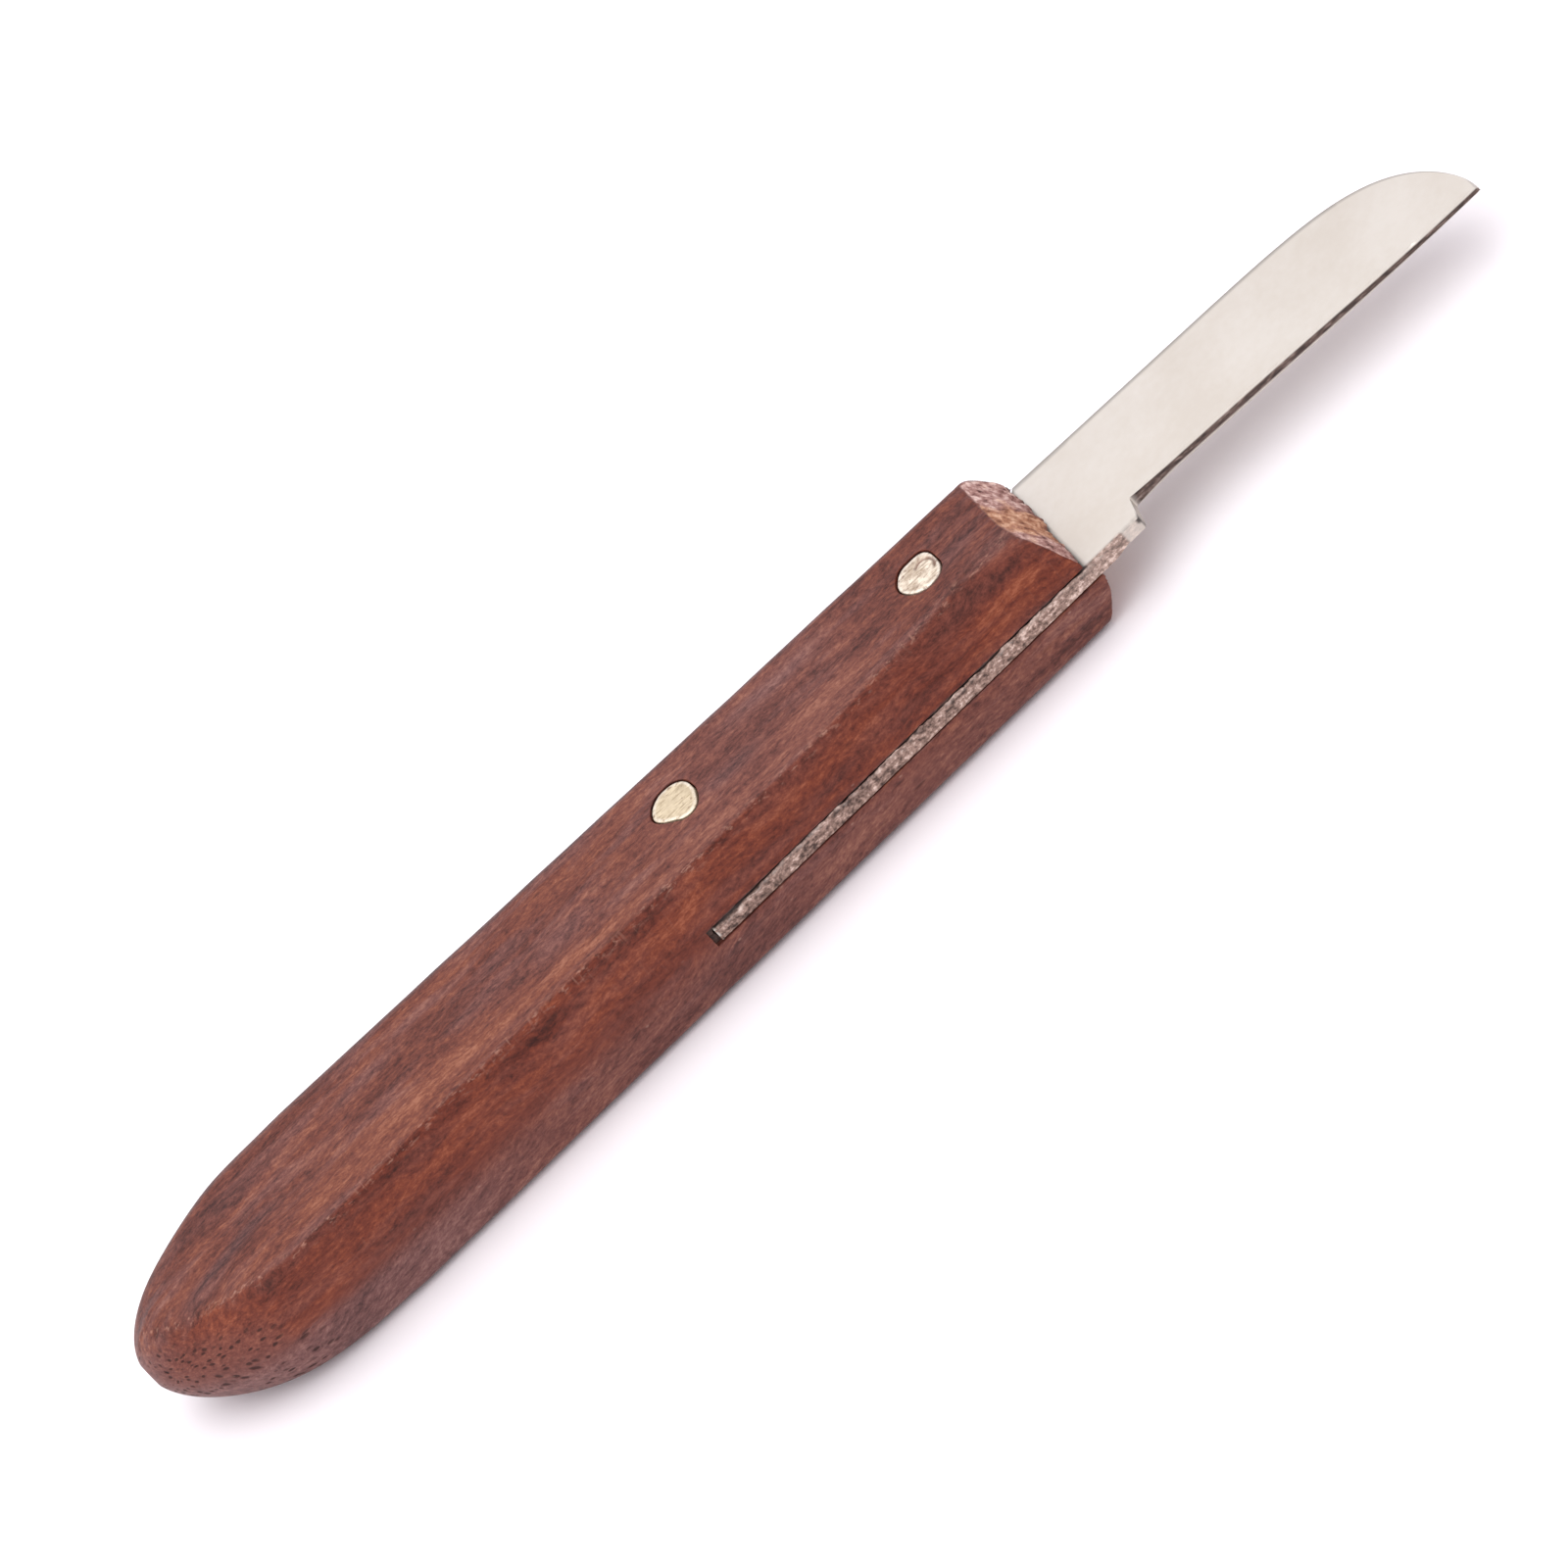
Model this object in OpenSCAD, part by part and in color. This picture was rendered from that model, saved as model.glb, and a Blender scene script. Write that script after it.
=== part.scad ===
// Hoof knife: a straight fixed blade pinned into a one-piece hardwood handle.
// It lies on one broad face of the handle. +X runs to the blade tip, -Y is the
// cutting-edge side, +Y the spine side, +Z is up. The origin is the middle of the
// footprint, on the face it lies on. Millimetres.

/* [Handle] */
// Length of the wood, butt to the longer lip of the front end
handle_len = 127.3; // [120:0.1:132]
// Widest part of the wood, cutting-edge side to spine side
handle_w = 20.2; // [19:0.1:22]
// Thickness of the wood between its two broad faces
handle_t = 16; // [15:0.1:18]
// How far the cutting-edge side bulges between the broad faces
edge_crown = 1; // [0.6:0.1:1.4]
// Angle at which the spine side narrows towards the blade
spine_taper = 1.9; // [1.4:0.1:2.2]
// Radius of the two spine-side corners
spine_round = 3; // [2:0.1:4]
// Radius of the lower cutting-edge corner
belly_round = 1.6; // [1:0.1:2]
// Length of the rounded butt
butt_len = 34; // [30:1:38]
// Sideways lean of the rounded butt
butt_lean = 10; // [6:1:11]
// How far the front end slopes back to the broad faces
front_slope = 3.6; // [2.5:0.1:4.5]
// Extra length of the lower lip of the front end
front_step = 1.1; // [0.3:0.1:1.4]

/* [Saw kerf and bedding] */
// Height of the saw kerf that takes the tang
kerf_t = 2.5; // [2.3:0.1:3]
// Depth of the saw kerf from the longer front lip
kerf_len = 55; // [50:0.5:58]
// Depth of the bedding below the wood on both sides
bedding_drop = 0.4; // [0.2:0.1:0.6]

/* [Blade] */
// Blade outside the wood, longer front lip to tip
blade_out = 54.2; // [48:0.1:60]
// Thickness of the blade and tang
blade_t = 1.6; // [1.4:0.1:2]
// Width of the blade behind its curved end
blade_w = 13.9; // [12.5:0.1:14]
// Width of the tang at the front of the wood
tang_w = 16.9; // [16.5:0.1:17]
// Length of the tang inside the wood
tang_len = 54.2; // [49:0.1:54.5]
// Distance from the longer front lip to the heel of the cutting edge
heel_out = 6.9; // [5:0.1:9]
// Height of the step at the heel
heel_step = 3.25; // [2.6:0.05:3.4]
// Drop of the cutting edge from heel to tip
edge_drop = 2.4; // [1.6:0.1:2.6]
// Drop of the spine over the same length, before its curved end
spine_drop = 1.85; // [1:0.05:2.4]
// Width of the upper ground bevel along the cutting edge
top_bevel_w = 0.35; // [0.2:0.05:0.6]
// Height of the upper ground bevel
top_bevel_h = 0.3; // [0.2:0.05:0.4]
// Width of the lower ground bevel along the cutting edge
low_bevel_w = 0.9; // [0.6:0.05:1.2]
// Height of the lower ground bevel
low_bevel_h = 0.8; // [0.5:0.05:0.85]
// Length over which the bevels fade in from the heel
bevel_fade = 6.5; // [4:0.5:9]

/* [Pins] */
// Diameter of both pins
pin_d = 5; // [4:0.1:5.5]
// Distance from the longer front lip to the front pin
front_pin_back = 14; // [11:0.1:17]
// Distance between the two pins
pin_pitch = 33.9; // [30:0.1:36]
// Distance of the front pin from the cutting-edge side
front_pin_in = 9.3; // [8:0.1:10]
// How much farther from that side the rear pin sits
rear_pin_rise = 0.8; // [0:0.1:1]

/* [Hidden] */

total_len = handle_len + blade_out;
butt_x = -total_len / 2;
lip_x = butt_x + handle_len;
tip_x = total_len / 2;
edge_y = -handle_w / 2;
spine_y = handle_w / 2;
mid_z = handle_t / 2;
widest_x = butt_x + 28;
front_pin_at = [lip_x - front_pin_back, edge_y + front_pin_in];
rear_pin_at = front_pin_at + [-pin_pitch, rear_pin_rise];
kerf_x = lip_x - kerf_len;
tang_x = lip_x - tang_len;
tang_y = edge_y + 0.25;
heel_x = lip_x + heel_out;
heel_y = tang_y + heel_step;
tip_y = heel_y - edge_drop;
edge_turn = atan2(tip_y - heel_y, tip_x - heel_x);

// Share of the butt's full size at a distance d from its end, along a length n.
function swell(d, n, p) = pow(1 - pow(1 - min(d / n, 1), 2), p);

// Share of the blade's width left at a share s of the length of its curved end.
function tip_share(s) = pow(max(1 - pow(s, 5.8), 0), 0.65);

// Setback of the front end at a height z.
function setback(z) = front_slope * pow(abs(z - mid_z) / mid_z, 1.7);

// A half space behind the plane through p that faces along n.
module beyond(p, n) {
    reach = norm([n[0], n[1]]);
    translate(p)
        rotate([0, atan2(reach, n[2]), atan2(n[1], n[0])])
            translate([-15, -15, 0])
                cube([30, 30, 20]);
}

// Side outline of the wood, as wide as its widest part: domed butt, flat broad
// faces, sloped front end.
module side_outline() {
    reach = mid_z - 1.5;
    butt_top = [for (i = [0:18]) let (d = 22 * pow(i / 18, 2))
        [butt_x + d, mid_z + 1.5 + reach * swell(d, 22, 0.34)]];
    front_top = [for (i = [0:7]) let (z = handle_t - i / 7 * mid_z)
        [lip_x - front_step - setback(z), z]];
    front_low = [for (i = [0:7]) let (z = mid_z - i / 7 * mid_z)
        [lip_x - setback(z), z]];
    butt_low = [for (i = [18:-1:0]) let (d = 22 * pow(i / 18, 2))
        [butt_x + d, mid_z - 1.5 - reach * swell(d, 22, 0.34)]];
    translate([0, spine_y, 0])
        rotate([90, 0, 0])
            linear_extrude(2 * handle_w)
                polygon(concat(butt_top, front_top, front_low, butt_low));
}

// The turned butt: an ovoid leaning to the spine side, flared clear of the grip.
module butt_ovoid() {
    big_r = 13.3;
    nose = [for (i = [0:20]) let (d = 24 * pow(i / 20, 2) + 0.14)
        [big_r * swell(d, butt_len, 0.5), d]];
    translate([butt_x + 12, 0, mid_z])
        rotate([0, 0, -butt_lean])
            translate([-12.34, 0, 0])
                rotate([0, 90, 0])
                    rotate_extrude($fn = 96)
                        polygon(concat([[0, 0.14]], nose, [[48, 150], [0, 150]]));
}

// The bulging cutting-edge side of the grip.
module edge_side() {
    crown_r = (mid_z * mid_z + edge_crown * edge_crown) / (2 * edge_crown);
    translate([butt_x - 5, edge_y + crown_r, mid_z])
        rotate([0, 90, 0])
            cylinder(r = crown_r, h = total_len, $fn = 180);
}

// One long corner of the spine side, to be cut away outside its rounding.
module spine_corner(z, outward) {
    r = spine_round;
    difference() {
        translate([-1, -r, z + (outward - 1) * 5])
            cube([202, 10, 10]);
        translate([-2, -r, z])
            rotate([0, 90, 0])
                cylinder(r = r, h = 204, $fn = 48);
    }
}

// A long slab whose far side is the spine side with its two rounded corners.
module spine_side() {
    translate([widest_x, spine_y, 0])
        rotate([0, 0, -spine_taper])
            translate([-60, 0, 0])
                difference() {
                    translate([0, -40, -1])
                        cube([200, 40, handle_t + 2]);
                    spine_corner(handle_t - spine_round, 1);
                    spine_corner(spine_round, -1);
                }
}

// The corner taken off between the cutting-edge side and the lower broad face.
module belly_corner() {
    r = belly_round;
    corner_y = edge_y + edge_crown - 0.12;
    difference() {
        translate([butt_x - 5, corner_y - 3, -3])
            cube([total_len, r + 3, r + 3]);
        translate([butt_x - 6, corner_y + r, r])
            rotate([0, 90, 0])
                cylinder(r = r, h = total_len + 2, $fn = 36);
    }
}

module pin_bores() {
    for (at = [front_pin_at, rear_pin_at])
        translate([at[0], at[1], -1])
            cylinder(d = pin_d, h = handle_t + 2, $fn = 48);
}

module grip() {
    intersection() {
        side_outline();
        edge_side();
        spine_side();
        butt_ovoid();
    }
}

module kerf() {
    translate([kerf_x, -20, mid_z - kerf_t / 2])
        cube([kerf_len + 5, 40, kerf_t]);
}

module handle() {
    color([0.42, 0.21, 0.15])
        difference() {
            grip();
            belly_corner();
            kerf();
            pin_bores();
        }
}

// Plan of blade and tang, heel step at the cutting-edge side, curved end at the spine side.
module blade_plan() {
    curve_len = 36.8;
    curve_x = tip_x - curve_len;
    chord_at = tang_y + 3.1;
    spine = [for (i = [0:26])
        let (s = 1 - pow(1 - i / 26, 2),
             x = curve_x + s * curve_len,
             fall = spine_drop * (x - heel_x) / (tip_x - heel_x))
        [x, chord_at - fall + blade_w * tip_share(s)]];
    polygon(concat(
        [[tang_x, tang_y],
         [heel_x - 0.75, tang_y],
         [heel_x, heel_y],
         [tip_x - 0.3, tip_y],
         [tip_x - 0.08, tip_y + 0.08]],
        [for (i = [26:-1:0]) spine[i]],
        [[lip_x - front_step, tang_y + tang_w],
         [tang_x, tang_y + tang_w + 0.5]]));
}

// One ground bevel of width w and height h on the upper side: a long flat along
// the edge and a flat that fades in from the heel.
module ground_bevel(w, h) {
    run = tip_x - heel_x + 4;
    translate([heel_x, heel_y, 0])
        rotate([0, 0, edge_turn]) {
            translate([bevel_fade, 0, blade_t / 2 - h])
                rotate([90, 0, 90])
                    linear_extrude(run)
                        polygon([[-0.6, -0.6 * h / w],
                                 [2 * w, 2 * h],
                                 [-0.6, 2 * h]]);
            intersection() {
                beyond([0, 0, blade_t / 2],
                       [w * h, -bevel_fade * h, bevel_fade * w]);
                translate([0, -1, -1])
                    cube([bevel_fade, 4, 4]);
            }
        }
}

module blade() {
    color([0.86, 0.85, 0.83])
        difference() {
            translate([0, 0, mid_z - blade_t / 2])
                linear_extrude(blade_t)
                    blade_plan();
            translate([0, 0, mid_z])
                ground_bevel(top_bevel_w, top_bevel_h);
            translate([0, 0, mid_z])
                mirror([0, 0, 1])
                    ground_bevel(low_bevel_w, low_bevel_h);
            pin_bores();
        }
}

module pin(at) {
    translate([at[0], at[1], 0.05])
        cylinder(d = pin_d, h = handle_t - 0.1, $fn = 48);
}

module front_pin() {
    color([0.88, 0.87, 0.84])
        pin(front_pin_at);
}

module rear_pin() {
    color([0.88, 0.85, 0.78])
        pin(rear_pin_at);
}

// Thin dark bedding that fills the kerf around the tang, just below the wood.
module tang_bedding() {
    width = tang_w - 0.5 - bedding_drop;
    color([0.13, 0.1, 0.09])
        difference() {
            translate([kerf_x, edge_y + bedding_drop, mid_z - kerf_t / 2])
                cube([lip_x - front_step - 1.2 - kerf_x, width, kerf_t]);
            translate([0, 0, mid_z - blade_t / 2])
                linear_extrude(blade_t)
                    blade_plan();
            pin_bores();
        }
}

handle();
blade();
front_pin();
rear_pin();
tang_bedding();
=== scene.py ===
import math
from functools import partial

import bmesh
import bpy
import numpy as np
from mathutils import Matrix, Vector


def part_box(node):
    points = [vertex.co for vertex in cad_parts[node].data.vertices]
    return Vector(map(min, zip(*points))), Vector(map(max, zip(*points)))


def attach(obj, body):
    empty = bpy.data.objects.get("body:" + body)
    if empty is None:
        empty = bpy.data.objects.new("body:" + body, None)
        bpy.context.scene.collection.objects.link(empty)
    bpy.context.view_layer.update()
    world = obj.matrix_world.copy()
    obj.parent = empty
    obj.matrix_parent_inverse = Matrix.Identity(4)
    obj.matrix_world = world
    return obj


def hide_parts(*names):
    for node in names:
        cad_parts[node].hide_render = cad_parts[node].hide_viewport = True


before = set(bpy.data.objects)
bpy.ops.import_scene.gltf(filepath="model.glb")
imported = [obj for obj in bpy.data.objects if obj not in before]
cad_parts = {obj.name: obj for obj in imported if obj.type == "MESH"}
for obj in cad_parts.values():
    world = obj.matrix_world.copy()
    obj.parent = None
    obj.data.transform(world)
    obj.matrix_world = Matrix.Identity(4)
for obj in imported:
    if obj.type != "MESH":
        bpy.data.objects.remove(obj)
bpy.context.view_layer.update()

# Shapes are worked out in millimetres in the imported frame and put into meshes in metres.
MM = 0.001


def box_mm(node):
    """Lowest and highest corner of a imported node, in millimetres."""
    low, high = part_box(node)
    return np.array(low) / MM, np.array(high) / MM


wood_low, wood_high = box_mm("handle")
blade_low, blade_high = box_mm("blade")
bed_low, bed_high = box_mm("tang_bedding")
pin_centres = {name: (box_mm(name)[0] + box_mm(name)[1]) / 2 for name in ("front_pin", "rear_pin")}
pin_radius = (box_mm("front_pin")[1][0] - box_mm("front_pin")[0][0]) / 2

BUTT_X, LIP_X = wood_low[0], wood_high[0]
EDGE_Y, SPINE_Y = wood_low[1], wood_high[1]
TOP_Z = wood_high[2]
MID_Z = TOP_Z / 2
KERF_X = bed_low[0]
KERF_HALF = (bed_high[2] - bed_low[2]) / 2
TANG_X, TIP_X = blade_low[0], blade_high[0]
TANG_Y = blade_low[1]
BLADE_HALF = (blade_high[2] - blade_low[2]) / 2

# The wood's front: how much shorter the upper lip is, and how far and how fast it slopes back.
UPPER_LIP_SHORT = 1.1
FRONT_SETBACK = 3.6
FRONT_POWER = 1.7

# The heel step, and how far edge and spine fall from there to the tip.
HEEL_X = LIP_X + 6.9
HEEL_STEP = 3.28
HEEL_RUN = 0.75
EDGE_DROP = 2.43
EDGE_BOW = 0.28
SPINE_DROP = 1.85
SPINE_RISE = 3.12
BLADE_WIDTH = 13.92
TANG_WIDTH = 16.9
TIP_CURVE = 36.8
TIP_SHAPE = (5.8, 0.65)
BEVEL_FADE = 5.5
LOW_BEVEL, TOP_BEVEL = 0.46, 0.2
FACE_CELLS = 44

# The grip: its widest station, its taper, and how far each side bulges between the faces.
WIDEST_X = BUTT_X + 28
SPINE_TAPER = math.tan(math.radians(1.9))
CROWN = 1.0
RIDGE_SET_IN = ((-66, 1.0), (-50, 1.45), (-12, 1.55), (5, 2.0), (20, 3.4), (33, 4.8))
# Nicks on the ridge: where along it, half length, share of the full depth.
RIDGE_NICKS = ((-34.2, 0.28, 1.0), (-31.8, 0.5, 0.8), (-29.9, 0.3, 0.7))
NICK_DEPTH = 0.16
# The butt: its sideways lean, its swell to full height, and the ovoid that closes it.
LEAN, LEAN_LENGTH = 2.1, 20
NOSE_HALF, SWELL_LENGTH, SWELL_POWER = 1.5, 22, 0.34
OVOID_RADIUS, OVOID_LENGTH = 13.4, 35
# Cells across each broad half of the wood, and across each lip of the kerf.
TOP_CELLS, LIP_CELLS = 110, 8
# Equal points closer than this are one point.
MERGE = 0.004


# ------------ number helpers

def above(value):
    """The value where it is more than nothing, else nothing."""
    return np.clip(value, 0, None)


def share_of(value):
    """The value held between nothing and one."""
    return np.clip(value, 0, 1)


def smooth_min(a, b, width):
    """Smaller of a and b, with the corner between them rounded over width."""
    near = above(width - np.abs(a - b))
    return np.minimum(a, b) - near * near / (4 * width)


def ease(a, b, value):
    """0 below a, 1 above b, and a smooth S between."""
    t = share_of((value - a) / (b - a))
    return t * t * (3 - 2 * t)


def swell(along, length, power):
    """Share of full size at a distance along a rounded end of that length."""
    return (1 - (1 - share_of(along / length)) ** 2) ** power


def lattice(x, y, z, seed):
    """Smooth noise from -1 to 1: hashed values on whole-number corners, blended between."""
    cells = [np.floor(v).astype(np.int64) for v in np.broadcast_arrays(x, y, z)]
    parts = [v - c for v, c in zip(np.broadcast_arrays(x, y, z), cells)]
    parts = [p * p * (3 - 2 * p) for p in parts]
    total = np.zeros(parts[0].shape)
    for i in (0, 1):
        for j in (0, 1):
            for k in (0, 1):
                key = ((cells[0] + i) * 73856093) ^ ((cells[1] + j) * 19349663)
                key = key ^ ((cells[2] + k) * 83492791) ^ (seed * 15485863)
                key = (key ^ (key >> 15)) * 2246822519 & 0xFFFFFFFF
                key = (key ^ (key >> 13)) * 3266489917 & 0xFFFFFFFF
                weight = ((parts[0] if i else 1 - parts[0]) * (parts[1] if j else 1 - parts[1])
                          * (parts[2] if k else 1 - parts[2]))
                total += weight * ((key >> 8) / 8388607.5 - 1)
    return total


def grit(x, y, z, seed):
    """Three octaves of lattice noise, each half as strong and twice as fine."""
    return (lattice(x, y, z, seed) + 0.5 * lattice(2 * x, 2 * y, 2 * z, seed + 1)
            + 0.25 * lattice(4 * x, 4 * y, 4 * z, seed + 2)) / 1.75


def bump_at(value, centre, width):
    """A bell of height 1 at centre."""
    return np.exp(-((value - centre) / width) ** 2)


# ------------ mesh helpers

def put_in_scene(name, data):
    """An object at the origin that shows the given mesh, lamp or camera."""
    thing = bpy.data.objects.new(name, data)
    bpy.context.scene.collection.objects.link(thing)
    return thing


def grid_quads(rows, cols, start, wrap):
    """Four-cornered faces of a rows by cols grid whose first point is number start."""
    row = np.arange(rows - 1)[:, None]
    col = np.arange(cols if wrap else cols - 1)[None, :]
    nxt = (col + 1) % cols
    return start + np.stack([row * cols + col, row * cols + nxt,
                             (row + 1) * cols + nxt, (row + 1) * cols + col], -1)


class Shell:
    """Collects grids of points that share borders, and turns them into one closed mesh."""

    def __init__(self):
        self.points, self.faces, self.values, self.count = [], [], {}, 0

    def add(self, points, wrap=False, holes=(), **values):
        """A grid of points (rows, cols, 3); holes are (row0, row1, col0, col1) left open."""
        rows, cols = points.shape[:2]
        quads = grid_quads(rows, cols, self.count, wrap)
        keep = np.ones(quads.shape[:2], bool)
        for row0, row1, col0, col1 in holes:
            keep[row0:row1, col0:col1] = False
        self.points.append(points.reshape(-1, 3))
        self.faces.append(quads[keep])
        for name in set(values) | set(self.values):
            known = self.values.setdefault(name, [np.zeros(self.count)])
            value = values.get(name, 0.0)
            known.append(np.broadcast_to(value, (rows, cols)).reshape(-1).astype(float))
        self.count += rows * cols

    def cap(self, ring, **values):
        """Closes a ring of points with a fan of faces to its middle."""
        self.add(np.array([ring, np.tile(ring.mean(0), (len(ring), 1))]), wrap=True, **values)

    def finish(self, name, sharp_angle):
        """Makes the object: equal points merged, faces outward, smooth with sharp creases."""
        points = np.concatenate(self.points) * MM
        faces = np.concatenate(self.faces)
        mesh = bpy.data.meshes.new(name)
        mesh.from_pydata(points.tolist(), [], faces.tolist())
        for key, parts in self.values.items():
            layer = mesh.attributes.new(key, "FLOAT", "POINT")
            layer.data.foreach_set("value", np.concatenate(parts).astype(np.float32))
        work = bmesh.new()
        work.from_mesh(mesh)
        bmesh.ops.remove_doubles(work, verts=work.verts, dist=MERGE * MM)
        bmesh.ops.dissolve_degenerate(work, edges=work.edges, dist=0.001 * MM)
        bmesh.ops.recalc_face_normals(work, faces=work.faces)
        work.to_mesh(mesh)
        work.free()
        mesh.polygons.foreach_set("use_smooth", np.ones(len(mesh.polygons), bool))
        mesh.set_sharp_from_angle(angle=math.radians(sharp_angle))
        mesh.update()
        return put_in_scene(name, mesh)


# ------------ handle

def core_y(along):
    """The middle of the wood's section swings to the spine side at the butt."""
    return LEAN * above(1 - along / LEAN_LENGTH) ** 2


def spine_reach(x, along):
    """Distance from the core to the spine side, which narrows to the front."""
    return SPINE_Y - SPINE_TAPER * above(x - WIDEST_X) - core_y(along)


def set_in(x):
    """How far the upper ridge lies in from the widest part of the edge side."""
    return np.interp(x, *np.array(RIDGE_SET_IN).T)


def butt_rise(along):
    """Height of the broad face over the middle, which swells quickly from the butt's end."""
    return NOSE_HALF + (MID_Z - NOSE_HALF) * swell(along, SWELL_LENGTH, SWELL_POWER)


def butt_ovoid(along):
    """Distance from the core to the egg-shaped surface that closes the butt."""
    share = np.clip((along + 0.16) / OVOID_LENGTH, 0, 0.72)
    round_part = OVOID_RADIUS * np.sqrt(1 - (1 - share) ** 2)
    return round_part + 0.4 * above(along - 25)


def grip_radius(x, turn):
    """Distance from the core to the wood's surface at an angle: the nearest of the broad
    face, the side face (bulged by the crown) and the ovoid of the butt, corners rounded."""
    along = x - BUTT_X
    up, out = np.sin(turn), np.cos(turn)
    face = butt_rise(along) / np.maximum(np.abs(up), 1e-4)
    spine = spine_reach(x, along) / np.maximum(out, 1e-4)
    edge_plane = core_y(along) - EDGE_Y
    bulge = np.where(up > 0, set_in(x), CROWN) * (up / MID_Z) ** 2
    edge = 2 * edge_plane / np.maximum(np.sqrt(out * out + 4 * bulge * edge_plane) - out, 1e-4)
    ridge_soft = 0.6 + 1.0 * ease(22, 33, x)
    edge_round = np.where(up > 0, ridge_soft, 2.8)
    body = np.where(out > 0, smooth_min(face, spine, 5.0), smooth_min(face, edge, edge_round))
    ovoid = butt_ovoid(along) + 1.3 * bump_at(along, 20.5, 6.5) * ease(0.0, 0.6, out)
    soft = np.where(up > 0, 0.55 + 1.8 * ease(0.0, 0.4, out), 2.6)
    return smooth_min(body, ovoid, soft)


def column_turns():
    """Shares of the top run, from spine lip over the top to edge lip, evenly spaced along
    the surface of a typical section; the lower run mirrors it."""
    x = np.full(3000, -20.0)
    low = math.atan2(KERF_HALF, spine_reach(-20.0, 70.0))
    high = math.pi - math.atan2(KERF_HALF, -EDGE_Y)
    turn = np.linspace(low, high, 3000)
    radius = grip_radius(x, turn)
    path = np.stack([radius * np.cos(turn), radius * np.sin(turn)], -1)
    length = np.concatenate([[0], np.cumsum(np.linalg.norm(np.diff(path, axis=0), axis=1))])
    even = np.linspace(0, length[-1], TOP_CELLS + 1)
    return (np.interp(even, length, turn) - low) / (high - low)


def skin(x, part):
    """Points of the wood's outside for stations x (n, 1). part is top, edge, bottom or spine;
    the four parts share their first and last columns, which run along the kerf's lips."""
    along = x - BUTT_X
    low = np.arctan2(KERF_HALF, spine_reach(x, along))
    high = math.pi - np.arctan2(KERF_HALF, core_y(along) - EDGE_Y)
    top = low + (high - low) * column_turns()[None, :]
    share = np.linspace(0, 1, LIP_CELLS + 1)[None, :]
    turn = {"top": top, "bottom": -top, "spine": low - 2 * low * share,
            "edge": high + (2 * math.pi - 2 * high) * share}[part]
    radius = grip_radius(x, turn)
    y = core_y(along) + radius * np.cos(turn)
    z = radius * np.sin(turn)
    hand = 0.09 * lattice(x / 19, y / 5, z / 5, 3) + 0.03 * lattice(x / 4.5, y / 2, z / 2, 5)
    hand = hand * ease(1.5, 10, along)
    ridge_y, ridge_z = ridge_line(x)
    ridge = bump_at(y, ridge_y, 0.9) * bump_at(z, ridge_z - MID_Z, 1.2)
    chips = above(grit(x / 1.3, y / 0.8, z / 0.8, 11) - 0.3) * 0.26 * ridge
    nicks = sum(depth * bump_at(x, at, half) for at, half, depth in RIDGE_NICKS)
    chips = chips + NICK_DEPTH * nicks * ridge * ease(0, 1, z)
    scale = (hand - chips) / np.maximum(radius, 2.0)
    flat_base = ease(-MID_Z + 0.9, -MID_Z + 2.5, z)
    y = y + (y - core_y(along)) * scale
    z = z * (1 + scale * flat_base)
    z = np.maximum(z, -MID_Z)
    return np.stack(np.broadcast_arrays(x, y, z + MID_Z), -1)


# Streaks in the wood on each face: x, y or z, half length, half width, tilt, then how warm,
# how dark and how ashy each one is.
STREAKS = {
    "top": (
        (-62, -6.4, 13, 1.5, 0.02, 0.9, 0, 0), (-47, -5.4, 9, 2.4, 0, 0.7, 0, 0),
        (-61.5, -0.6, 4.5, 1.3, 0.03, 0.5, 0, 0), (-78, -2.4, 5.5, 1, 0.06, 0, 0.7, 0.8),
        (-71.5, -1.6, 3.5, 0.9, -0.03, 0, 0.6, 0.5), (-66, -3.4, 3, 0.5, -0.05, 0, 0.5, 0.2),
        (-70, 4.2, 7, 1.4, -0.04, 0, 0.2, 0.4), (-54, 2.6, 5, 0.9, 0, 0, 0.3, 0.6),
        (-29, -2.4, 5, 2.2, 0, 0, 0.1, 0.6), (-28, -6.9, 14, 1.1, 0, 0.9, 0, 0),
        (-8, -6.6, 7, 1, 0, 0.8, 0, 0), (-5, -1.8, 4, 1.2, -0.03, 0, 0.5, 0.5),
        (8, -4.4, 5, 1.3, 0.03, 0.5, 0, 0), (4, 3, 7, 1.2, 0, 0, 0.4, 0.6),
        (14, -0.6, 4, 0.8, 0, 0.4, 0, 0), (27, -2, 3.5, 1.6, 0, 0, 0.3, 0.6)),
    "side": (
        (-38, 13.3, 5.5, 1.3, 0.05, 0, 0.8, 0), (-50, 13, 5, 0.9, 0.06, 0.5, 0, 0),
        (-28.5, 12.4, 4.5, 1, 0.1, 0.8, 0, 0), (-20, 12.5, 3.8, 0.7, 0.08, 0.9, 0, 0),
        (-36, 15.2, 3, 0.5, 0, 0.6, 0, 0), (-14, 14.6, 3.5, 0.8, -0.04, 0.7, 0, 0),
        (1, 13.8, 7.5, 1.3, 0, 0.6, 0, 0), (-8, 11.2, 6, 0.6, 0.03, 0, 0.5, 0),
        (24, 14.2, 7.5, 1.1, 0, 0, 0.9, 0.5), (28, 11.9, 5, 0.6, 0, 1, 0, 0),
        (26, 10.4, 9, 0.7, 0, 0.7, 0, 0), (14, 11.4, 5, 0.8, 0, 0, 0.4, 0),
        (-66, 12.8, 9, 1.6, 0, 0.5, 0.1, 0), (-60, 9.6, 6, 0.7, 0.05, 0, 0.5, 0.4),
        (-73, 6, 6, 0.8, 0.05, 0, 0.4, 0.5), (-2, 3.6, 8, 1, 0, 0.5, 0, 0)),
}


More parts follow.
